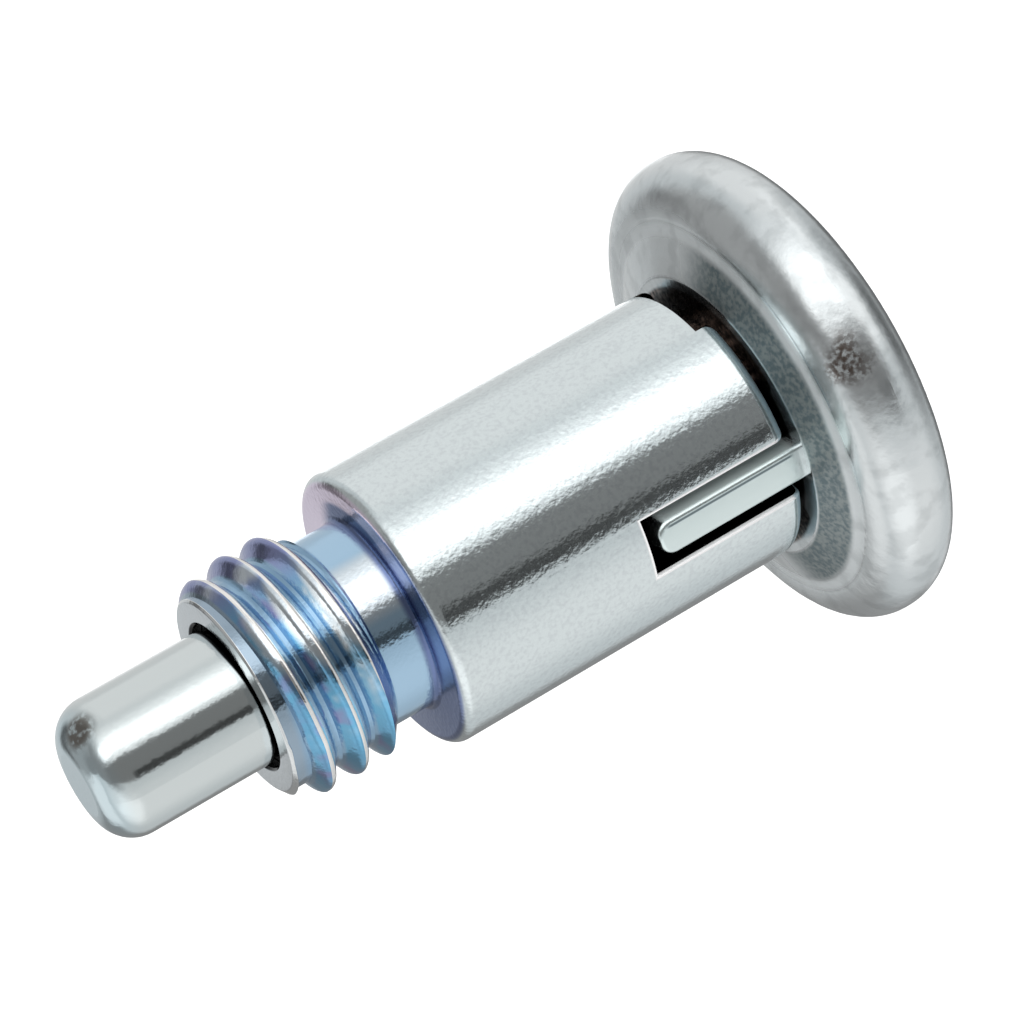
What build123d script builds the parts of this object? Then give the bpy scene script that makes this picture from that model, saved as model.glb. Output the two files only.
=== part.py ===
from build123d import *
from math import atan, radians, tan
import os

# Indexing plunger with an open rest position. Millimetres, axis along Z.
# The origin is the centre of the mounting shoulder's face. +Z runs out through
# the locking pin, and the plunger stands on the flat crown of its knob.

# ---- index pin ---------------------------------------------------------------
pin_d = 5.9                 # locking diameter
relief_depth = 0.2          # grinding relief between the locking diameter and the land
relief_length = 0.6
relief_lead = 0.05          # the relief starts this far in front of the nose face
guide_land_d = 6.3          # land that runs in the guide bore
pin_protrusion = 7.0        # from the nose face to the tip, at rest
tip_round = 1.6             # large round that finds the index hole
stem_d = 3.8                # thin stem that carries the spring and the knob
stem_grip = 10.4            # length of stem pressed into the knob
stem_end_chamfer = 0.4

# ---- housing, outside --------------------------------------------------------
thread_d = 10.0             # M10 coarse thread, major diameter
nose_length = 6.8           # shoulder face to nose face
lead_in = 0.95              # chamfer at the start of the thread, along the axis
lead_in_rise = 0.83         # and across it
nose_edge_round = 0.15
thread_run_out = 0.7        # axial length of the chamfer where the thread ends
neck_d = 8.2                # relief groove behind the thread
neck_length = 1.9
neck_root_round = 0.25
body_d = 12.0
body_length = 16.35         # shoulder face to rear rim
shoulder_round = 0.5
rim_round = 0.6

# ---- housing, inside ---------------------------------------------------------
land_clearance = 0.05       # radial, guide land in its bore
mouth_chamfer = 0.1         # at the mouth of the guide bore
web_thickness = 1.1         # wall that carries the spring and guides the stem
stem_clearance = 0.1        # radial, stem in the web
bore_past_slot = 0.2        # the rear bore runs this far past the slots
hub_clearance = 0.1         # radial, hub in the rear bore
rim_inner_chamfer = 0.2

# ---- ribs, and the slots and rest notches that take them -----------------------
rib_width = 1.5
rib_side_gap = 0.5          # on each side, in the slot
rib_end_gap = 0.48          # between rib nose and slot end, at rest
rib_inset = 0.05            # rib surface below the body surface
rib_nose_round = 0.6
rib_edge_round = 0.2
rib_release = 0.43          # ribs stand this far clear of the rim at full pull
notch_width = 4.8           # rest notches, a quarter turn from the slots
notch_depth = 0.88
slot_edge_break = 0.15      # chamfer round the mouth of each slot

# ---- pull knob ---------------------------------------------------------------
hub_d = 9.0
hub_chamfer = 0.3
ring_gap = 0.33             # between the rim and the knob's ring
ring_d = 12.5
ring_round = 0.2
flare_rise = 0.72           # axial depth of the slope from ring to head
head_d = 20.8
head_front_flat = 0.25      # flat between the slope and the front round
flare_blend = 0.19          # the blend from slope to flat takes this much of the flat
head_front_round = 1.8
head_belt = 0.1             # straight stretch between the two rounds
head_back_round = 1.9
crown_slope = 20.0          # degrees, from the crown down to the back round
crown_d = 13.2              # flat crown that the plunger stands on
crown_round = 3.0

# ---- return spring -----------------------------------------------------------
wire_d = 0.55
wire_side_count = 8         # the round wire is drawn with this many flats
coil_clearance = 0.25       # radial, coil in the guide bore
active_turns = 5
closed_turns = 1            # at each end
closed_turn_gap = 0.04      # between the wires of a closed end
solid_spare = 0.3           # length left before the coils touch, at full pull

# ---- for finding edges -----------------------------------------------------------
same = 0.001                # places this close count as one

# ---- worked out from the sizes above -------------------------------------------
stroke = pin_protrusion     # a full pull brings the tip flush with the nose
tip_z = nose_length + pin_protrusion
rim_z = -body_length
slot_length = stroke - rib_release + rib_end_gap
slot_end_z = rim_z + slot_length
bore_end_z = slot_end_z + bore_past_slot
web_front_z = bore_end_z + web_thickness
all_turns = active_turns + 2 * closed_turns
closed_pitch = wire_d + closed_turn_gap
spring_length = stroke + (all_turns + 1) * closed_pitch + solid_spare
pin_shoulder_z = web_front_z + spring_length
nose_face_r = thread_d / 2 - lead_in_rise
guide_r = guide_land_d / 2 + land_clearance
relief_z = nose_length + relief_lead
land_front_z = relief_z - relief_length
rear_bore_r = hub_d / 2 + hub_clearance
rib_nose_z = slot_end_z - rib_end_gap
rib_r = body_d / 2 - rib_inset
ring_z = rim_z - ring_gap
flare_r = head_d / 2 - head_front_round - head_front_flat
head_front_z = ring_z - flare_rise
flare_angle = atan(flare_rise / (flare_r - ring_d / 2))
flare_blend_r = flare_blend / tan(flare_angle / 2)
back_corner = head_back_round * tan(radians((90 - crown_slope) / 2))
belt_end_z = head_front_z - head_front_round - head_belt - back_corner
crown_z = belt_end_z - (head_d - crown_d) / 2 * tan(radians(crown_slope))
stem_end_z = bore_end_z - stem_grip


def turned(points):
    """A solid turned about Z from (radius, height) points."""
    outline = [(radius, 0, height) for radius, height in points]
    return revolve(make_face(Polyline(*outline, close=True)), Axis.Z)


def rounded(solid, diameter, height, radius):
    """Rounds the circular edge of a turned solid at one diameter and height."""
    edges = solid.edges().filter_by(GeomType.CIRCLE).filter_by(
        lambda edge: abs(edge.radius - diameter / 2) < same
        and abs(edge.arc_center.Z - height) < same
    )
    return fillet(edges, radius)


def make_housing():
    """Threaded nose, neck and body, turned and bored, then slotted across."""
    housing = turned([
        (0, nose_length),
        (nose_face_r, nose_length),
        (thread_d / 2, nose_length - lead_in),
        (thread_d / 2, neck_length + thread_run_out),
        (neck_d / 2, neck_length),
        (neck_d / 2, 0),
        (body_d / 2, 0),
        (body_d / 2, rim_z),
        (0, rim_z),
    ])
    housing = rounded(housing, 2 * nose_face_r, nose_length, nose_edge_round)
    housing = rounded(housing, neck_d, 0, neck_root_round)
    housing = rounded(housing, body_d, 0, shoulder_round)
    housing = rounded(housing, body_d, rim_z, rim_round)

    stem_hole_r = stem_d / 2 + stem_clearance
    housing -= turned([
        (0, nose_length),
        (guide_r + mouth_chamfer, nose_length),
        (guide_r, nose_length - mouth_chamfer),
        (guide_r, web_front_z),
        (stem_hole_r, web_front_z),
        (stem_hole_r, bore_end_z),
        (rear_bore_r, bore_end_z),
        (rear_bore_r, rim_z + rim_inner_chamfer),
        (rear_bore_r + rim_inner_chamfer, rim_z),
        (0, rim_z),
    ])

    slot_width = rib_width + 2 * rib_side_gap
    on_rim = (Align.CENTER, Align.CENTER, Align.MIN)
    slots = Pos(0, 0, rim_z) * Box(body_d, slot_width, slot_length, align=on_rim)
    notches = Pos(0, 0, rim_z) * Box(notch_width, body_d, notch_depth, align=on_rim)
    housing -= slots
    mouth_edges = housing.edges().filter_by(
        lambda edge: abs(edge.bounding_box().max.Z - slot_end_z) < same
        and all(
            abs(Vector(end.X, end.Y).length - body_d / 2) < same
            for end in (edge @ 0, edge @ 1)
        )
    )
    housing = chamfer(mouth_edges, slot_edge_break)
    return housing - notches


def make_index_pin():
    """Locking pin with a rounded tip, its guide land and the stem behind it."""
    pin = turned([
        (0, tip_z),
        (pin_d / 2, tip_z),
        (pin_d / 2, relief_z),
        (pin_d / 2 - relief_depth, relief_z - relief_depth),
        (pin_d / 2 - relief_depth, land_front_z),
        (guide_land_d / 2, land_front_z),
        (guide_land_d / 2, pin_shoulder_z),
        (stem_d / 2, pin_shoulder_z),
        (stem_d / 2, stem_end_z + stem_end_chamfer),
        (stem_d / 2 - stem_end_chamfer, stem_end_z),
        (0, stem_end_z),
    ])
    return rounded(pin, pin_d, tip_z, tip_round)


def make_return_spring():
    """Compression spring with closed ends, between the web and the guide land."""
    coil_r = guide_r - coil_clearance - wire_d / 2
    closed_height = closed_turns * closed_pitch
    active_height = spring_length - wire_d - 2 * closed_height
    start_z = web_front_z + wire_d / 2
    active_z = start_z + closed_height
    end_z = active_z + active_height
    path = Wire([
        Edge.make_helix(closed_pitch, closed_height, coil_r, (0, 0, start_z)),
        Edge.make_helix(active_height / active_turns, active_height, coil_r, (0, 0, active_z)),
        Edge.make_helix(closed_pitch, closed_height, coil_r, (0, 0, end_z)),
    ])
    section = Plane(origin=path @ 0, z_dir=path % 0) * RegularPolygon(wire_d / 2, wire_side_count)
    return sweep(section, path=path, is_frenet=True)


def make_pull_knob():
    """Mushroom head, ring and hub, bored for the stem, with two ribs on the hub."""
    knob = turned([
        (0, bore_end_z),
        (hub_d / 2 - hub_chamfer, bore_end_z),
        (hub_d / 2, bore_end_z - hub_chamfer),
        (hub_d / 2, ring_z),
        (ring_d / 2, ring_z),
        (flare_r, head_front_z),
        (head_d / 2, head_front_z),
        (head_d / 2, belt_end_z),
        (crown_d / 2, crown_z),
        (0, crown_z),
    ])
    knob = rounded(knob, ring_d, ring_z, ring_round)
    knob = rounded(knob, 2 * flare_r, head_front_z, flare_blend_r)
    knob = rounded(knob, head_d, head_front_z, head_front_round)
    knob = rounded(knob, head_d, belt_end_z, head_back_round)
    knob = rounded(knob, crown_d, crown_z, crown_round)

    rib_length = rib_nose_z - head_front_z
    bar = Pos(0, 0, rib_nose_z) * Box(
        body_d, rib_width, rib_length, align=(Align.CENTER, Align.CENTER, Align.MAX)
    )
    nose_edges = bar.edges().filter_by(Axis.X).group_by(Axis.Z)[-1]
    bar = fillet(nose_edges, rib_nose_round)
    bar &= Pos(0, 0, rib_nose_z) * Cylinder(
        rib_r, rib_length, align=(Align.CENTER, Align.CENTER, Align.MAX)
    )
    outer_edges = bar.edges().filter_by(
        lambda edge: abs(edge.center().X) > hub_d / 2
        and edge.center().Z > head_front_z + same
    )
    knob += fillet(outer_edges, rib_edge_round)

    stem_hole = Pos(0, 0, bore_end_z) * Cylinder(
        stem_d / 2, stem_grip, align=(Align.CENTER, Align.CENTER, Align.MAX)
    )
    return knob - stem_hole


def main():
    os.makedirs("parts", exist_ok=True)
    export_step(make_housing(), "parts/housing.step")
    export_step(make_index_pin(), "parts/index_pin.step")
    export_step(make_return_spring(), "parts/return_spring.step")
    export_step(make_pull_knob(), "parts/pull_knob.step")


main()
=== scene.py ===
from math import cos, pi, radians, sin, sqrt, tan

import bpy
from mathutils import Euler, Matrix, Vector


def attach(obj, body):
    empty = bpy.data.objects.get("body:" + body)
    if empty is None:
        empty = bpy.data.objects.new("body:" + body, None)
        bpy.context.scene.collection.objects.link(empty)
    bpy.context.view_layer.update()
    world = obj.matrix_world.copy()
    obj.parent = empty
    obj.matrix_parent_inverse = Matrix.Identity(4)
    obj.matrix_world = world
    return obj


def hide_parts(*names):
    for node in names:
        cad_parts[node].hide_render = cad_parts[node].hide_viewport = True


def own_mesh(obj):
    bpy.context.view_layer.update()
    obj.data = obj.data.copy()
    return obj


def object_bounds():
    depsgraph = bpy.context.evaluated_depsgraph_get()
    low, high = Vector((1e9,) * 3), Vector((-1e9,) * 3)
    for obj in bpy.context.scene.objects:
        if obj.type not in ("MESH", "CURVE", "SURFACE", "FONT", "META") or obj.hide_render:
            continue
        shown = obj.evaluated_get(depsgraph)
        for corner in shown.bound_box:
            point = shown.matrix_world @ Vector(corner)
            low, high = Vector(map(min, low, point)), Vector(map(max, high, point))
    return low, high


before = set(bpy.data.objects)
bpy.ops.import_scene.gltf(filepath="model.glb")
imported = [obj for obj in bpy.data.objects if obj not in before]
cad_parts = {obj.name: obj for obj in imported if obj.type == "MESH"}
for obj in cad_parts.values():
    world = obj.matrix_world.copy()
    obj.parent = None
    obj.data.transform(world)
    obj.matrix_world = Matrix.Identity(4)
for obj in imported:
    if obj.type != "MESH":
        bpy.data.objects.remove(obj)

cad_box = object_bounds()
MM = 0.001  # lengths below are in millimetres, and Blender takes metres

# ---- Housing --------------------------------------------------------------------
# A bar of free-cutting steel, turned to shape, thread-rolled M10 x 1.5 on the nose,
# drilled through for the pin and slotted across the rear for the knob's ribs. It is
# zinc plated, with a blue passivation that gathers in the thread and the neck.
nose_z = 6.8
start_chamfer_length = 0.64
start_chamfer_depth = 0.83
chamfer_slope = start_chamfer_length / start_chamfer_depth
nose_edge_round = 0.12
collar_r = 4.27
collar_low_z = 4.5
fade_length = 2.3
fade_scale = 0.88
neck_r = 4.1
neck_length = 1.9
run_out = 0.7
neck_root_round = 0.25
body_r = 6.0
rim_z = -16.35
shoulder_round = 0.5
rim_round = 0.6

thread_r = 5.0
pitch = 1.5
flank_angle = radians(30)
crest_round = 0.3
root_round = 0.3
crest_at_azimuth_0 = 4.139
thread_turns = 6
rod_low_z = 1.6
rod_high_z = 7.4

guide_r = 3.2
mouth_chamfer = 0.1
web_front_z = -8.0
stem_hole_r = 2.0
bore_end_z = -9.1
rear_bore_r = 4.6
rim_inner_chamfer = 0.2

slot_width = 2.5
slot_end_z = -9.3
slot_edge_break = 0.15
notch_width = 4.8
notch_depth = 0.88

turning_steps = 120

# Points this close are the same one, and tools run this far past what they trim or cut
merge_distance = 0.0002
same_place = 0.001
past_skin = 0.3
past_end = 1.0


def select_where(piece, kind, test):
    """Selects, in edit mode, a piece's vertices or edges whose points in mm all pass a test."""
    bpy.ops.object.mode_set(mode="EDIT")
    bpy.ops.mesh.select_mode(type=kind)
    bpy.ops.mesh.select_all(action="DESELECT")
    bpy.ops.object.mode_set(mode="OBJECT")
    mesh = piece.data
    for item in mesh.vertices if kind == "VERT" else mesh.edges:
        ends = [item.index] if kind == "VERT" else item.vertices
        item.select = all(test(mesh.vertices[i].co / MM) for i in ends)
    bpy.ops.object.mode_set(mode="EDIT")


def draw(name, outline, rounds=()):
    """Draws a line of (radius, height) points in mm; rounds are (corner, radius, facets)."""
    bpy.ops.object.select_all(action="DESELECT")
    bpy.ops.mesh.primitive_plane_add(size=MM)
    piece = bpy.context.object
    piece.name = name
    bpy.ops.object.mode_set(mode="EDIT")
    bpy.ops.mesh.merge(type="CENTER")
    bpy.ops.transform.translate(value=(outline[0][0] * MM, 0, outline[0][1] * MM))
    for (r0, z0), (r1, z1) in zip(outline, outline[1:]):
        step = ((r1 - r0) * MM, 0, (z1 - z0) * MM)
        bpy.ops.mesh.extrude_region_move(TRANSFORM_OT_translate={"value": step})
    for corner, size, facets in rounds:
        here = outline.index(corner)
        back = Vector(outline[here - 1]) - Vector(corner)
        ahead = Vector(outline[here + 1]) - Vector(corner)
        setback = size / tan(back.angle(ahead) / 2)
        place = Vector((corner[0], 0, corner[1]))
        select_where(piece, "VERT", lambda co: (co - place).length < same_place)
        bpy.ops.mesh.bevel(
            offset=setback * MM, segments=facets, affect="VERTICES", clamp_overlap=False
        )
    return piece


def close_up(piece):
    """Merges what coincides and turns every face outwards."""
    bpy.ops.object.mode_set(mode="EDIT")
    bpy.ops.mesh.select_all(action="SELECT")
    bpy.ops.mesh.remove_doubles(threshold=merge_distance * MM)
    bpy.ops.mesh.normals_make_consistent(inside=False)
    bpy.ops.object.mode_set(mode="OBJECT")
    return piece


def turn(name, outline, rounds=()):
    """Turns an outline about Z, as on a lathe. It starts and ends on the axis."""
    piece = draw(name, outline, rounds)
    bpy.ops.mesh.select_all(action="SELECT")
    bpy.ops.mesh.spin(steps=turning_steps, angle=2 * pi, center=(0, 0, 0), axis=(0, 0, 1))
    return close_up(piece)


def pick(piece):
    """Selects one piece alone and makes it the active one."""
    bpy.ops.object.select_all(action="DESELECT")
    piece.select_set(True)
    bpy.context.view_layer.objects.active = piece


def apply_modifier(piece, kind, **settings):
    """Adds a modifier with its settings and applies it."""
    pick(piece)
    bpy.ops.object.modifier_add(type=kind)
    modifier = piece.modifiers[-1]
    for setting, value in settings.items():
        setattr(modifier, setting, value)
    bpy.ops.object.modifier_apply(modifier=modifier.name)


def combine(piece, tool, operation):
    """Cuts a piece with a tool, joins them or keeps what they share; the tool is used up."""
    apply_modifier(piece, "BOOLEAN", operation=operation, solver="EXACT", object=tool)
    bpy.data.objects.remove(tool)


def block(name, low, high):
    """A rectangular block between two corners, in mm."""
    bpy.ops.object.select_all(action="DESELECT")
    centre = [(a + b) / 2 * MM for a, b in zip(low, high)]
    size = [(b - a) * MM for a, b in zip(low, high)]
    bpy.ops.mesh.primitive_cube_add(size=1, location=centre, scale=size)
    bpy.ops.object.transform_apply()
    bpy.context.object.name = name
    return bpy.context.object


# One pitch of the thread's form, from mid-flank to mid-flank, is screwed up into a rod.
# A round takes as much off a corner of 60 degrees as its own radius.
sharp_crest = (thread_r + crest_round, 0)
sharp_root = (sharp_crest[0] - pitch / 2 / tan(flank_angle), pitch / 2)
mid_flank_r = (sharp_crest[0] + sharp_root[0]) / 2
thread = draw(
    "thread_rod",
    [(mid_flank_r, -pitch / 4), sharp_crest, sharp_root, (mid_flank_r, 3 * pitch / 4)],
    [(sharp_crest, crest_round, 6), (sharp_root, root_round, 4)],
)
bpy.ops.mesh.select_all(action="SELECT")
first_crest_z = crest_at_azimuth_0 - thread_turns / 2 * pitch
bpy.ops.transform.translate(value=(0, 0, first_crest_z * MM))
bpy.ops.object.mode_set(mode="OBJECT")
apply_modifier(
    thread,
    "SCREW",
    angle=2 * pi,
    screw_offset=pitch * MM,
    iterations=thread_turns,
    steps=turning_steps,
    render_steps=turning_steps,
)
close_up(thread)
bpy.ops.object.mode_set(mode="EDIT")
for height, side in ((rod_low_z, -1), (rod_high_z, 1)):
    bpy.ops.mesh.select_all(action="SELECT")
    bpy.ops.mesh.bisect(
        plane_co=(0, 0, height * MM), plane_no=(0, 0, side), clear_outer=True, use_fill=True
    )
close_up(thread)

# The blank was chamfered, so the rolled crests fade towards the nose over a plain collar
select_where(thread, "VERT", lambda co: co.z > rod_high_z - same_place)
bpy.ops.transform.resize(
    value=(fade_scale, fade_scale, 1),
    center_override=(0, 0, rod_high_z * MM),
    use_proportional_edit=True,
    proportional_edit_falloff="LINEAR",
    proportional_size=fade_length * MM,
)
bpy.ops.object.mode_set(mode="OBJECT")
collar_high_z = nose_z + past_skin
collar = turn(
    "collar",
    [(0, collar_low_z), (collar_r, collar_low_z), (collar_r, collar_high_z), (0, collar_high_z)],
)
combine(thread, collar, "UNION")

# The rod is trimmed to the nose's chamfer and run-out and joined to the turned body
run_out_slope = run_out / (thread_r - neck_r)
nose_corner = (thread_r - start_chamfer_depth, nose_z)
nose = turn(
    "nose_envelope",
    [
        (0, neck_length - past_skin * run_out_slope),
        (neck_r - past_skin, neck_length - past_skin * run_out_slope),
        (thread_r + past_skin, neck_length + run_out + past_skin * run_out_slope),
        (thread_r + past_skin, nose_z - start_chamfer_length - past_skin * chamfer_slope),
        nose_corner,
        (0, nose_z),
    ],
    [(nose_corner, nose_edge_round, 4)],
)
combine(thread, nose, "INTERSECT")

inside_thread_z = 3
housing = turn(
    "threaded_housing",
    [
        (0, inside_thread_z),
        (neck_r, inside_thread_z),
        (neck_r, 0),
        (body_r, 0),
        (body_r, rim_z),
        (0, rim_z),
    ],
    [
        ((neck_r, 0), neck_root_round, 4),
        ((body_r, 0), shoulder_round, 6),
        ((body_r, rim_z), rim_round, 6),
    ],
)
combine(housing, thread, "UNION")

bores = turn(
    "bores",
    [
        (0, nose_z + past_end),
        (guide_r + mouth_chamfer + past_end, nose_z + past_end),
        (guide_r, nose_z - mouth_chamfer),
        (guide_r, web_front_z),
        (stem_hole_r, web_front_z),
        (stem_hole_r, bore_end_z),
        (rear_bore_r, bore_end_z),
        (rear_bore_r, rim_z + rim_inner_chamfer),
        (rear_bore_r + rim_inner_chamfer + past_end, rim_z - past_end),
        (0, rim_z - past_end),
    ],
)
combine(housing, bores, "DIFFERENCE")

slots = block(
    "slots",
    (-body_r - past_end, -slot_width / 2, rim_z - past_end),
    (body_r + past_end, slot_width / 2, slot_end_z),
)
combine(housing, slots, "DIFFERENCE")


def on_slot_mouth(co):
    """True on the outer edge of either slot."""
    on_skin = sqrt(co.x**2 + co.y**2) > body_r - rim_round - 10 * same_place
    on_side = abs(abs(co.y) - slot_width / 2) < same_place and co.z < slot_end_z + same_place
    on_end = abs(co.z - slot_end_z) < same_place and abs(co.y) < slot_width / 2 + same_place
    return on_skin and (on_side or on_end)


select_where(housing, "EDGE", on_slot_mouth)
bpy.ops.mesh.bevel(offset=slot_edge_break * MM, segments=2, clamp_overlap=False)
bpy.ops.object.mode_set(mode="OBJECT")

notches = block(
    "notches",
    (-notch_width / 2, -body_r - past_end, rim_z - past_end),
    (notch_width / 2, body_r + past_end, rim_z + notch_depth),
)
combine(housing, notches, "DIFFERENCE")
close_up(housing)

# Each edge round runs into its faces without a crease, and sharp cuts stay sharp
sharpest_smooth = radians(30)
bpy.ops.object.shade_smooth_by_angle(angle=sharpest_smooth)
apply_modifier(housing, "WEIGHTED_NORMAL", keep_sharp=True)


def linear(code):
    """A colour from its sRGB hex code, as the linear values that a shader takes."""
    parts = [int(code[i : i + 2], 16) / 255 for i in (1, 3, 5)]
    return [c / 12.92 if c <= 0.04045 else ((c + 0.055) / 1.055) ** 2.4 for c in parts] + [1]


def add_node(tree, kind, inputs=(), output=0, **settings):
    """Adds a node with its settings and gives one output; inputs take values or other outputs."""
    node = tree.nodes.new("ShaderNode" + kind)
    for name, value in settings.items():
        setattr(node, name, value)
    by_name = inputs if isinstance(inputs, dict) else dict(enumerate(inputs))
    for name, value in by_name.items():
        if isinstance(value, bpy.types.NodeSocket):
            tree.links.new(value, node.inputs[name])
        else:
            node.inputs[name].default_value = value
    return node.outputs[output]


def area(tree, *limits, within=None):
    """The share, 0 to 1, of an area inside all its limits, and inside another if one is given.

    A limit is a measure, its value where the area fades out and its value where it is full.
    """
    share = within
    for measure, faded, full in limits:
        step = add_node(
            tree,
            "MapRange",
            {"Value": measure, "From Min": faded, "From Max": full},
            interpolation_type="SMOOTHSTEP",
        )
        if share is None:
            share = step
        else:
            share = add_node(tree, "Math", (share, step), operation="MULTIPLY")
    return share


def together(tree, *areas):
    """The share of several areas taken as one area."""
    share = areas[0]
    for other in areas[1:]:
        share = add_node(tree, "Math", (share, other), operation="MAXIMUM")
    return share


def coated(tree, colour, *coats):
    """Lays coats over a colour, in order; each one is the share that it covers and its colour."""
    for share, coat in coats:
        colour = add_node(
            tree, "Mix", {"Factor": share, 6: colour, 7: coat}, output=2, data_type="RGBA"
        )
    return colour


def new_metal(name, roughness):
    """A metal, its tree, its shader, the place on the piece in mm, and its x, y, z and radius."""
    material = bpy.data.materials.new(name)
    material.use_nodes = True
    tree = material.node_tree
    shader = tree.nodes["Principled BSDF"]
    shader.inputs["Metallic"].default_value = 1
    shader.inputs["Roughness"].default_value = roughness
    in_metres = add_node(tree, "TexCoord", output="Object")
    mm = add_node(tree, "VectorMath", {0: in_metres, "Scale": 1 / MM}, operation="SCALE")
    x, y, z = add_node(tree, "SeparateXYZ", (mm,)).node.outputs
    level = add_node(tree, "VectorMath", (mm, (1, 1, 0)), operation="MULTIPLY")
    radius = add_node(tree, "VectorMath", (level,), output="Value", operation="LENGTH")
    return material, tree, shader, mm, (x, y, z, radius)


def grain(tree, shader, mm, size, depth, detail=3):
    """Roughens a metal with random bumps of a size and a depth in mm."""
    height = add_node(tree, "TexNoise", {"Vector": mm, "Scale": 1 / size, "Detail": detail})
    bumps = add_node(tree, "Bump", {"Height": height, "Strength": 1, "Distance": depth * MM})
    tree.links.new(bumps, shader.inputs["Normal"])


def toward(tree, mm, azimuth):
    """How far out a point lies, in mm, on the side at an azimuth in degrees."""
    direction = (cos(radians(azimuth)), sin(radians(azimuth)), 0)
    return add_node(tree, "VectorMath", (mm, direction), output="Value", operation="DOT_PRODUCT")


def dress(piece, material):
    """Gives a piece one material, in place of any that it has."""
    piece.data.materials.clear()
    piece.data.materials.append(material)


# Zinc plate with a clear blue passivation: almost neutral on the body and the crests,
# steel blue in the neck and azure on the flanks that face the pin. The fine grain of
# the plating speckles the reflections, and the clearances are painted black as shade.
body_zinc = linear("#E8F1F2")
dull_zinc = linear("#DFE7E9")
neck_zinc = linear("#B5D5EE")
shoulder_zinc = linear("#FBEBFF")
shaded_indigo_shoulder_zinc = linear("#7080AA")
nose_zinc = linear("#E4E9EC")
nose_edge_highlight_zinc = linear("#F4F7F7")
crest_highlight_zinc = linear("#FFFDFA")
root_zinc = linear("#98BAD6")
collar_zinc = linear("#A3B6C6")
edge_highlight_white = linear("#FFFFFF")
rim_zinc = linear("#B4C8D0")
azure_flank_zinc = linear("#77B8DD")
violet_flank_zinc = linear("#989FCB")
pale_film_and_highlight_zinc = linear("#E6EFF5")
painted_shade_black = linear("#0E0F10")

plated_roughness = 0.13
matt_roughness = 0.55
edge_highlight_metallic = 0.2
speckle_size = 0.2
film_patch_size = 1.8
plating_grain_size = 0.22
plating_grain_depth = 0.012

# The azimuths, in degrees, of the sides that some finishes, painted highlights and painted
# shade lie on or leave clear
lit_side_azimuth = 48
violet_azimuth = 118
lit_shoulder_azimuth = 121
lit_neck_azimuth = 150

plated_steel, tree, shader, mm, (x, y, z, radius) = new_metal(
    "blue_passivated_zinc_on_turned_steel", plated_roughness
)
off_slot = add_node(tree, "Math", (y,), operation="ABSOLUTE")
off_notch = add_node(tree, "Math", (x,), operation="ABSOLUTE")
toward_lit_side = toward(tree, mm, lit_side_azimuth)

# The body is speckled, and the broken edges of its slots carry a painted white highlight.
# A noise runs from about 0.3 to 0.7, so the limits on it lie between those.
break_y = slot_width / 2 + slot_edge_break
break_end_z = slot_end_z + slot_edge_break
beside_break = (off_slot, break_y + 0.04, break_y)
below_break = (z, break_end_z + 0.04, break_end_z)
slot_edge_highlight = area(tree, beside_break, below_break)
speckle = add_node(tree, "TexNoise", {"Vector": mm, "Scale": 1 / speckle_size, "Detail": 4})
dull_specks = (speckle, 0.42, 0.68)
body_colour = coated(
    tree, body_zinc, (area(tree, dull_specks), dull_zinc), (slot_edge_highlight, edge_highlight_white)
)

# The flanks are azure or violet by the film's thickness and pale in thin patches on the
# lit half, and pale as a painted highlight on the side toward the softbox. A white line,
# a painted highlight, runs along the side of each crest that faces the body, and a
# lighter painted highlight along the nose's edge. Crests are counted up the helix.
azimuth = add_node(tree, "Math", (y, x), operation="ARCTAN2")
turn_share = add_node(tree, "Math", (azimuth, 2 * pi), operation="DIVIDE")
up_from_crest = add_node(tree, "Math", (z, crest_at_azimuth_0), operation="SUBTRACT")
pitches_up = add_node(tree, "Math", (up_from_crest, pitch), operation="DIVIDE")
turns_past = add_node(tree, "Math", (pitches_up, turn_share), operation="SUBTRACT")
past_crest = add_node(tree, "Math", (turns_past,), operation="FRACT")
film = add_node(tree, "TexNoise", {"Vector": mm, "Scale": 1 / film_patch_size, "Detail": 2})
thick_patches = (film, 0.48, 0.66)
thin_patches = (film, 0.48, 0.28)
violet_side = (toward(tree, mm, violet_azimuth), 2, 4.4)
lit_half = (toward_lit_side, 2, 4)
highlight_side = (toward_lit_side, 4.4, 4.8)
violet_film = together(tree, area(tree, thick_patches), area(tree, violet_side))
pale_film_and_highlight = together(tree, area(tree, thin_patches, lit_half), area(tree, highlight_side))
flank_colour = coated(
    tree, azure_flank_zinc, (violet_film, violet_flank_zinc), (pale_film_and_highlight, pale_film_and_highlight_zinc)
)
on_collar = (z, 6, 6.4)
off_root = (radius, 4.36, 4.5)
near_crest = (radius, 4.38, 4.54)
before_crest = (past_crest, 0.61, 0.69)
up_chamfer = add_node(tree, "Math", (radius, chamfer_slope, z), operation="MULTIPLY_ADD")
chamfer_level = nose_corner[1] + nose_corner[0] * chamfer_slope
on_chamfer = (up_chamfer, chamfer_level - 0.03, chamfer_level - 0.01)
on_nose_face = (z, nose_z - 0.03, nose_z - 0.005)
# The crest line and the nose edge's band are painted highlights
thread_colour = coated(
    tree,
    root_zinc,
    (area(tree, on_collar), collar_zinc),
    (area(tree, off_root), flank_colour),
    (area(tree, near_crest, before_crest), crest_highlight_zinc),
    (area(tree, on_chamfer), nose_edge_highlight_zinc),
    (area(tree, on_nose_face), nose_zinc),
)
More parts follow.
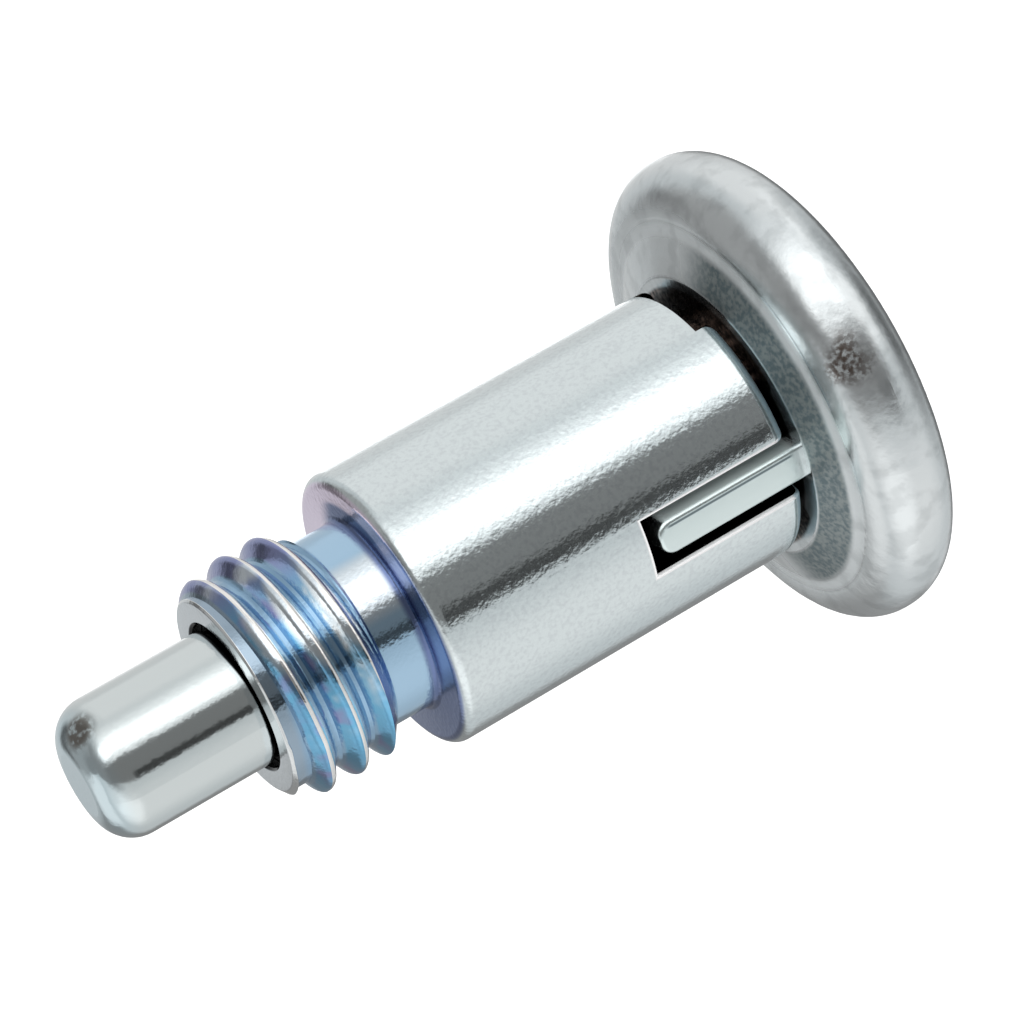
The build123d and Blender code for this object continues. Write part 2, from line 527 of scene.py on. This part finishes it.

# Painted shade: the shoulder is dark indigo by the neck's root and on its side away
# from the light, but for a lit side on each. A painted highlight runs along the neck.
by_neck = (radius, 5.1, 4.8)
off_lit_neck = (toward(tree, mm, lit_neck_azimuth), 4.3, 3.3)
off_lit_shoulder = (toward(tree, mm, lit_shoulder_azimuth), 3.2, 1.6)
neck_highlight = (toward_lit_side, 3.8, 4.02)
above_shoulder = (z, 0.15, 0.45)
above_neck = (z, 1.8, 2.1)
shoulder_shade = together(
    tree, area(tree, by_neck, off_lit_neck), area(tree, off_lit_shoulder)
)
shoulder_colour = coated(tree, shoulder_zinc, (shoulder_shade, shaded_indigo_shoulder_zinc))
neck_colour = coated(tree, neck_zinc, (area(tree, neck_highlight), pale_film_and_highlight_zinc))
front_colour = coated(
    tree,
    shoulder_colour,
    (area(tree, above_shoulder), neck_colour),
    (area(tree, above_neck), thread_colour),
)

# Painted shade: the bores, the notches and the slots are painted black, but one wall of
# each slot is left light near its mouth, where light gets in
lit_wall_share = area(tree, (y, -0.1, 0.1))
lit_wall_depth = 0.6
lit_wall_r = add_node(tree, "Math", (lit_wall_share, lit_wall_depth, radius), operation="MULTIPLY_ADD")
wall_outer_r = body_r - slot_edge_break
in_slot = area(
    tree,
    (off_slot, slot_width / 2 + 0.02, slot_width / 2),
    (lit_wall_r, wall_outer_r, wall_outer_r - 0.03),
)
notch_end_z = rim_z + notch_depth
in_notch = area(
    tree,
    (z, notch_end_z + 0.03, notch_end_z + 0.01),
    (radius, body_r - 0.02, body_r - 0.08),
    (off_notch, notch_width / 2 + 0.04, notch_width / 2 + 0.01),
)
in_rear_bore = area(tree, (radius, rear_bore_r + 0.3, rear_bore_r + 0.1))
in_rear = together(tree, in_rear_bore, in_slot, in_notch)
below_shoulder = (z, -0.5, -1)
in_guide_bore = (radius, guide_r + 0.12, guide_r + 0.06)
painted_shade_share = together(tree, area(tree, below_shoulder, within=in_rear), area(tree, in_guide_bore))
unshaded_share = add_node(tree, "Math", (1, painted_shade_share), operation="SUBTRACT")
on_rim = area(
    tree,
    (z, rim_z + rim_round - 0.05, rim_z + rim_round - 0.2),
    (radius, rear_bore_r + 0.25, rear_bore_r + 0.35),
    (radius, body_r - 0.02, body_r - 0.06),
    within=unshaded_share,
)
above_body = (z, -0.14, -0.02)
housing_colour = coated(
    tree,
    body_colour,
    (area(tree, above_body), front_colour),
    (painted_shade_share, painted_shade_black),
    (on_rim, rim_zinc),
)
tree.links.new(housing_colour, shader.inputs["Base Color"])

# The rim and the broken edges are matt; the painted highlight on the edges is less metallic
on_break = area(
    tree,
    (radius, body_r - 0.005, body_r - 0.02),
    (radius, wall_outer_r - 0.05, wall_outer_r - 0.02),
    within=slot_edge_highlight,
)
matt = together(tree, on_rim, on_break)
roughness = add_node(
    tree,
    "Math",
    (matt, matt_roughness - plated_roughness, plated_roughness),
    operation="MULTIPLY_ADD",
)
metallic = add_node(tree, "Math", (on_break, edge_highlight_metallic - 1, 1), operation="MULTIPLY_ADD")
tree.links.new(roughness, shader.inputs["Roughness"])
tree.links.new(metallic, shader.inputs["Metallic"])
grain(tree, shader, mm, plating_grain_size, plating_grain_depth)
dress(housing, plated_steel)

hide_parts("housing")
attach(housing, "housing")

# ---- Index pin ------------------------------------------------------------------
# Hardened steel, ground to size and plated, so it is smoother and greyer than the body.
# It goes into the housing from the front, with the spring on its stem. The plating is
# worn on one side of the tip, and a painted shadow stands round it at the nose, higher
# on one side.
pin_zinc = linear("#DFE6E6")
tip_zinc = linear("#DDEDF2")
worn_pin = linear("#86837E")
ground_roughness = 0.11
ground_grain_size = 0.3
ground_grain_depth = 0.007
worn_place = (0.6, 2.45, 13.15)
worn_spot_size = 0.3
shadow_azimuth = 131
shadow_rise = 0.17

ground_steel, tree, shader, mm, (x, y, z, radius) = new_metal(
    "plated_ground_steel", ground_roughness
)
from_wear = add_node(
    tree, "VectorMath", (mm, worn_place), output="Value", operation="DISTANCE"
)
wear = add_node(tree, "TexNoise", {"Vector": mm, "Scale": 1 / worn_spot_size, "Detail": 4})
# Painted shadow round the pin at the nose, higher on one side
shadow_side = area(tree, (toward(tree, mm, shadow_azimuth), -0.8, 1.6))
over_nose = add_node(tree, "Math", (z, nose_z), operation="SUBTRACT")
over_shadow = add_node(
    tree, "Math", (shadow_side, -shadow_rise, over_nose), operation="MULTIPLY_ADD"
)
on_tip = (z, 12.6, 13.6)
near_wear = (from_wear, 0.95, 0.4)
worn_spots = (wear, 0.32, 0.54)
in_painted_shadow = (over_shadow, 0.1, 0.02)
pin_colour = coated(
    tree,
    pin_zinc,
    (area(tree, on_tip), tip_zinc),
    (area(tree, near_wear, worn_spots), worn_pin),
    (area(tree, in_painted_shadow), painted_shade_black),
)
tree.links.new(pin_colour, shader.inputs["Base Color"])
grain(tree, shader, mm, ground_grain_size, ground_grain_depth, detail=4)
dress(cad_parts["index_pin"], ground_steel)

# ---- Return spring --------------------------------------------------------------
# Drawn spring wire, wound cold and left dark with oil, round the pin's stem. It is
# seated on the web, and the pin's guide land presses it together as the knob is pulled.
knob_travel = 7
wire_roughness = 0.3
drawing_mark_size = 0.1
drawing_mark_depth = 0.002

wound_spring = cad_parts["return_spring"]
spring = bpy.data.objects.new("coiled_spring", wound_spring.data.copy())
bpy.context.scene.collection.objects.link(spring)
pick(spring)
bpy.ops.object.mode_set(mode="EDIT")
bpy.ops.mesh.select_all(action="SELECT")
bpy.ops.mesh.remove_doubles(threshold=merge_distance * MM)
bpy.ops.mesh.customdata_custom_splitnormals_clear()
bpy.ops.object.mode_set(mode="OBJECT")
bpy.ops.object.shade_smooth_by_angle(angle=sharpest_smooth)

spring_wire, tree, shader, mm, (x, y, z, radius) = new_metal("oiled_spring_wire", wire_roughness)
shader.inputs["Base Color"].default_value = linear("#85868A")
grain(tree, shader, mm, drawing_mark_size, drawing_mark_depth, detail=2)
dress(spring, spring_wire)

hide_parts("return_spring")
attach(spring, "housing")
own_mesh(spring)

# ---- Pull knob ------------------------------------------------------------------
# Zinc alloy, die cast with its ring, hub and ribs in one, then tumbled and plated, and
# pressed on the pin's stem. The skin is softer and more uneven than the turned body's,
# dull and spotted in the cove and painted darker there on one side as shade, and white
# oxide is left where nothing rubs. Painted shade fills the gap round the hub, and a
# painted dark reflection runs along each rib.
ring_z = -16.68
head_front_z = -17.4
cove_r = 8.35
ridge_low_z = -19.3
hub_r = 4.5
rib_side = 0.75
rib_nose_z = -9.78
rib_reflection_y = 0.5
shade_edge_r = 5.35
shade_spread = 0.4

knob_zinc = linear("#EAEFF0")
knob_patch_zinc = linear("#DADFE0")
dull_and_shaded_zinc = linear("#7B898D")
spotted_cove_zinc = linear("#A2AAAA")
baked_grease = linear("#93837A")
rib_zinc = linear("#E8F5F4")
rough_patch_zinc = linear("#776B64")
cast_roughness = 0.26
dull_roughness = 0.48
oxide_metallic = 0.4
cast_grain_size = 0.5
cast_grain_depth = 0.016
blotch_size = 1.1
spot_size = 0.22
stain_place = (8.95, 4.9, -18.3)
stain_speck_size = 0.2
dull_azimuth = 6
ragged_reach = 1.6
ridge_oxide = 0.7

cast_zinc, tree, shader, mm, (x, y, z, radius) = new_metal(
    "plated_zinc_die_casting", cast_roughness
)
off_rib = add_node(tree, "Math", (y,), operation="ABSOLUTE")
below_ring = (z, ring_z, ring_z - 0.05)

# One rough, stained place is left on the head's front round
blotch = add_node(tree, "TexNoise", {"Vector": mm, "Scale": 1 / blotch_size, "Detail": 4})
stain_specks = add_node(
    tree, "TexNoise", {"Vector": mm, "Scale": 1 / stain_speck_size, "Detail": 5}
)
from_stain = add_node(
    tree, "VectorMath", (mm, stain_place), output="Value", operation="DISTANCE"
)
ragged_stain = add_node(
    tree, "Math", (blotch, ragged_reach, from_stain), operation="MULTIPLY_ADD"
)
in_stain = (ragged_stain, 2.1, 1.2)
stained = area(tree, in_stain, (stain_specks, 0.34, 0.6))

# The cove is dull and dark on one side, as dull dirt and painted shade, and clean on
# the other; its ridge is dull all round
speckle = add_node(tree, "TexNoise", {"Vector": mm, "Scale": 1 / spot_size, "Detail": 5})
spots = area(tree, (speckle, 0.36, 0.66))
toward_dull = toward(tree, mm, dull_azimuth)
dull_cosine = add_node(tree, "Math", (toward_dull, radius), operation="DIVIDE")
dull_shaded_side = area(tree, (dull_cosine, 0, 0.4))
clean_side = add_node(tree, "Math", (1, dull_shaded_side), operation="SUBTRACT")
in_dull_shaded_cove = area(
    tree,
    below_ring,
    (radius, cove_r - 0.35, cove_r - 0.7),
    (z, head_front_z - 0.1, head_front_z - 0.02),
    within=dull_shaded_side,
)
on_ridge = area(
    tree,
    below_ring,
    (radius, cove_r - 0.55, cove_r - 0.3),
    (radius, cove_r + 0.1, cove_r - 0.1),
    (z, ridge_low_z - 0.1, ridge_low_z + 0.1),
)
cove_dirt_and_shade_colour = coated(tree, dull_and_shaded_zinc, (spots, spotted_cove_zinc))

# A painted dark reflection lies along one edge of each rib
on_rib = area(tree, (off_rib, rib_side + 0.15, rib_side + 0.1), (z, ring_z - 0.2, ring_z + 0.6))
to_right = add_node(tree, "Math", (x,), operation="SIGN")
along_rib_y = add_node(tree, "Math", (y, to_right), operation="MULTIPLY")
on_edge_reflection = area(
    tree,
    (along_rib_y, rib_reflection_y - 0.08, rib_reflection_y - 0.02),
    (along_rib_y, rib_reflection_y + 0.08, rib_reflection_y + 0.02),
    (z, ring_z + 0.3, ring_z + 0.6),
    (z, rib_nose_z - 0.32, rib_nose_z - 0.62),
)

# Painted shade lies black on the ring's face and the hub, but not on the ribs. It reaches
# farther out behind the notches, with spots of baked brown grease there. On the hub it
# stays near the rim and the ribs, with ragged edges.
behind_notch = area(tree, (off_rib, 2.6, 3.2))
shade_reach_r = add_node(
    tree, "Math", (behind_notch, -shade_spread, radius), operation="MULTIPLY_ADD"
)
rib_foot = area(tree, (off_rib, rib_side + 0.05, rib_side), (radius, hub_r + 0.3, hub_r + 0.5))
off_foot = add_node(tree, "Math", (1, rib_foot), operation="SUBTRACT")
ragged_z = add_node(tree, "Math", (blotch, ragged_reach, z), operation="MULTIPLY_ADD")
ragged_y = add_node(
    tree, "Math", (blotch, ragged_reach / 2, off_rib), operation="MULTIPLY_ADD"
)
near_rim = (ragged_z, notch_end_z + 2, notch_end_z + 1)
near_rib = (ragged_y, 2.3, 1.7)
near_either = together(tree, area(tree, near_rim), area(tree, near_rib))
in_shaded_gap = area(
    tree,
    (z, ring_z - 0.06, ring_z - 0.01),
    (shade_reach_r, shade_edge_r + 0.2, shade_edge_r),
    within=add_node(tree, "Math", (off_foot, near_either), operation="MULTIPLY"),
)
baked = add_node(tree, "Math", (behind_notch, spots), operation="MULTIPLY")
gap_shade_and_grease_colour = coated(tree, painted_shade_black, (baked, baked_grease))

tumbled_patches = (blotch, 0.46, 0.66)
knob_colour = coated(
    tree,
    knob_zinc,
    (area(tree, tumbled_patches), knob_patch_zinc),
    (stained, rough_patch_zinc),
    (in_dull_shaded_cove, cove_dirt_and_shade_colour),
    (on_rib, rib_zinc),
    (on_edge_reflection, dull_and_shaded_zinc),
    (in_shaded_gap, gap_shade_and_grease_colour),
)
tree.links.new(knob_colour, shader.inputs["Base Color"])

# The dull skin is rougher. White oxide is left on the head's clean side, on the ridge
# and on the ribs' sides.
dull = together(tree, in_dull_shaded_cove, on_ridge)
roughness = add_node(
    tree,
    "Math",
    (dull, dull_roughness - cast_roughness, cast_roughness),
    operation="MULTIPLY_ADD",
)
tree.links.new(roughness, shader.inputs["Roughness"])
off_belt = (radius, 9.6, 8.4)
on_clean_head = area(tree, below_ring, off_belt, within=clean_side)
thin_on_ridge = add_node(tree, "Math", (on_ridge, ridge_oxide), operation="MULTIPLY")
rib_flank = area(tree, (off_rib, rib_side - 0.07, rib_side - 0.01), within=on_rib)
oxide = together(tree, on_clean_head, thin_on_ridge, rib_flank)
metallic = add_node(tree, "Math", (oxide, oxide_metallic - 1, 1), operation="MULTIPLY_ADD")
tree.links.new(metallic, shader.inputs["Metallic"])
grain(tree, shader, mm, cast_grain_size, cast_grain_depth)
dress(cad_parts["pull_knob"], cast_zinc)

# ---- Floor and studio -----------------------------------------------------------
# A white floor, far enough under the crown that the knob can be pulled. The metal
# mirrors a light tent and not the floor: a softbox on the right of the camera, a dark
# opening beside it, and dimmer cloth above.
floor_size = 3000
room_to_pull = knob_travel + 0.5
floor_roughness = 0.9
floor_glow = 0.8
white = linear("#FFFFFF")
bpy.ops.object.select_all(action="DESELECT")
floor_z = cad_box[0].z - room_to_pull * MM
bpy.ops.mesh.primitive_plane_add(size=floor_size * MM, location=(0, 0, floor_z))
floor = bpy.context.object
floor.name = "floor"
floor.visible_glossy = False
floor.visible_shadow = False
white_floor = bpy.data.materials.new("lit_white_floor")
white_floor.use_nodes = True
shader = white_floor.node_tree.nodes["Principled BSDF"]
shader.inputs["Base Color"].default_value = linear("#F2F2F2")
shader.inputs["Roughness"].default_value = floor_roughness
shader.inputs["Emission Color"].default_value = white
shader.inputs["Emission Strength"].default_value = floor_glow
dress(floor, white_floor)

# Each panel's edges, across from the camera's azimuth and upward, how soft they are
# across and upward, all in degrees, and the panel's brightness
view_azimuth = radians(31.19)
cloth = (0.57, 0.59, 0.6, 1)
panels = [
    ("cloth on the left", (-114, -52), (-50, 72), (46, 44), 0.79),
    ("lamp on the left cloth", (-112, -64), (6, 52), (30, 20), 1.02),
    ("far ceiling", (-48, 176), (43, 98), (24, 32), 0.25),
    ("cloth behind on the left", (-186, -130), (32, 80), (14, 20), 0.84),
    ("dim cloth on the right", (80, 180), (23, 67), (15, 16), 0.34),
    ("dark corner on the right", (138, 176), (20, 34), (12, 14), 0.12),
    ("lit cloth on the right", (70, 128), (-52, 1), (20, 19), 0.8),
    ("far cloth on the right", (128, 210), (-52, 1), (20, 19), 0.68),
    ("low light on the right", (49, 91), (-43, -30), (40, 5), 1.05),
    ("dark corner on the left", (-176, -144), (-25, 28), (14, 6), 0.26),
    ("softbox", (18, 51), (-34, 48), (55, 50), 1.45),
    ("core of the softbox", (16, 44), (-34, 52), (10, 16), 1.45),
    ("foot of the softbox", (-7, 38), (-63, -30), (8, 5), 1.06),
    ("opening", (-33, 8), (-34, 65), (4, 15), 0.2),
    ("edge of the opening", (-33, -21), (-32, 0), (3, 10), 0.05),
    ("light behind", (158, 174), (-61, -14), (18, 10), 1.5),
    ("dark behind on the right", (152, 200), (-62, -25), (10, 8), 0.14),
    ("dark behind on the left", (-200, -158), (-62, -25), (10, 8), 0.14),
    ("table", (-200, 200), (-110, -71), (1, 44), 0.05),
]
world = bpy.data.worlds.new("light_tent")
bpy.context.scene.world = world
world.use_nodes = True
tree = world.node_tree
direction = add_node(tree, "TexCoord", output="Generated")
x, y, z = add_node(tree, "SeparateXYZ", (direction,)).node.outputs
azimuth = add_node(tree, "Math", (y, x), operation="ARCTAN2")
past_view = add_node(tree, "Math", (azimuth, view_azimuth), operation="SUBTRACT")
from_camera = add_node(tree, "Math", (past_view,), operation="DEGREES")
elevation = add_node(tree, "Math", (z,), operation="ARCSINE")
upward = add_node(tree, "Math", (elevation,), operation="DEGREES")


def off_middle(tree, angle, edges, softness):
    """A limit for area, between two angles in degrees with soft edges."""
    middle, half = sum(edges) / 2, (edges[1] - edges[0]) / 2
    past = add_node(tree, "Math", (angle, middle), operation="SUBTRACT")
    wrapped = add_node(tree, "Math", (past, 180, -180), operation="WRAP")
    off = add_node(tree, "Math", (wrapped,), operation="ABSOLUTE")
    return off, half + softness / 2, half - softness / 2


light = cloth
for name, across, up, (soft_across, soft_up), brightness in panels:
    share = area(
        tree,
        off_middle(tree, from_camera, across, soft_across),
        off_middle(tree, upward, up, soft_up),
    )
    panel_light = (brightness, brightness, brightness, 1)
    light = coated(tree, light, (share, panel_light))
    light.node.label = name

# What lies behind the floor is white to the camera
seen = add_node(tree, "LightPath", output="Is Camera Ray")
light = coated(tree, light, (seen, white))
tree.links.new(light, tree.nodes["Background"].inputs["Color"])

# ---- Camera ---------------------------------------------------------------------
# A long lens on the pin's side of the knob, a little above it, rolled on its side
# so that the plunger lies across the frame with its pin at the lower left.
view_elevation = radians(18.244)
view_roll = radians(119.76)
view_distance = 173.33
lens_length = 153.403
aim = Vector((-0.458, 0.756, -6.796))

bpy.ops.object.select_all(action="DESELECT")
bpy.ops.object.camera_add()
camera = bpy.context.object
camera.data.lens = lens_length
camera.data.sensor_width = 36
camera.data.clip_start = 10 * MM
upright = Euler((pi / 2 - view_elevation, 0, pi / 2 + view_azimuth)).to_matrix()
rolled = upright @ Matrix.Rotation(-view_roll, 3, "Z")
station = (aim + view_distance * upright.col[2]) * MM
camera.matrix_world = Matrix.Translation(station) @ rolled.to_4x4()
bpy.context.scene.camera = camera
bpy.context.scene.view_settings.view_transform = "Standard"
